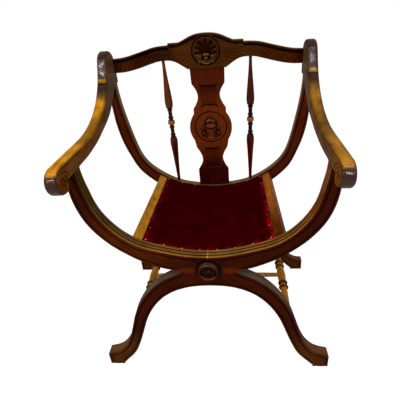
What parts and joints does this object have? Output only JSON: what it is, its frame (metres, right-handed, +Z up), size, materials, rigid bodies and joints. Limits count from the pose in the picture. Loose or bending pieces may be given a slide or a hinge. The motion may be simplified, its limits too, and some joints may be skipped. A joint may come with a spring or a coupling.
{
  "type": "savonarola armchair",
  "caption": "Fixed X-frame armchair with curved hoops and legs, scrolled arm rests, carved crest rail and splat, turned spindles and stretchers, and a dished velvet seat.",
  "frame": {"origin": "on the floor, in the middle of the chair's footprint box", "axes": "+Z up, +Y from the front of the chair to its back, +X to the right of a viewer who stands in front of it"},
  "size_m": [0.668, 0.4982, 0.934],
  "materials": {
    "frame_wood": "dark walnut stain under gloss varnish",
    "turned_wood": "turned, walnut stain under gloss varnish",
    "rail_wood": "worn golden top under varnish",
    "board_wood": "bare bent panel",
    "velvet": "crimson velvet, crushed nap",
    "tack_steel": "domed heads, dulled",
    "dowel_wood": "bare beech"
  },
  "bodies": {
    "root": {"front_hoop_left": "frame_wood", "front_hoop_right": "frame_wood", "rear_hoop_left": "frame_wood", "rear_hoop_right": "frame_wood", "front_leg_left": "frame_wood", "front_leg_right": "frame_wood", "rear_leg_left": "frame_wood", "rear_leg_right": "frame_wood", "arm_left": "frame_wood", "arm_right": "frame_wood", "spindle_left": "turned_wood", "spindle_right": "turned_wood", "side_stretcher_left": "turned_wood", "side_stretcher_right": "turned_wood", "seat_rail_left": "rail_wood", "seat_rail_right": "rail_wood", "crest_rail": "frame_wood", "splat": "frame_wood", "front_boss": "frame_wood", "cross_stretcher": "turned_wood", "seat_board": "board_wood", "seat_pad": "velvet", "seat_tacks": "tack_steel", "front_seam_dowels": "dowel_wood", "rear_seam_dowels": "dowel_wood", "front_joint_dowels": "dowel_wood", "rear_joint_dowels": "dowel_wood", "arm_front_dowels": "dowel_wood", "arm_rear_dowels": "dowel_wood", "crest_dowels": "dowel_wood"}
  },
  "joints": []
}
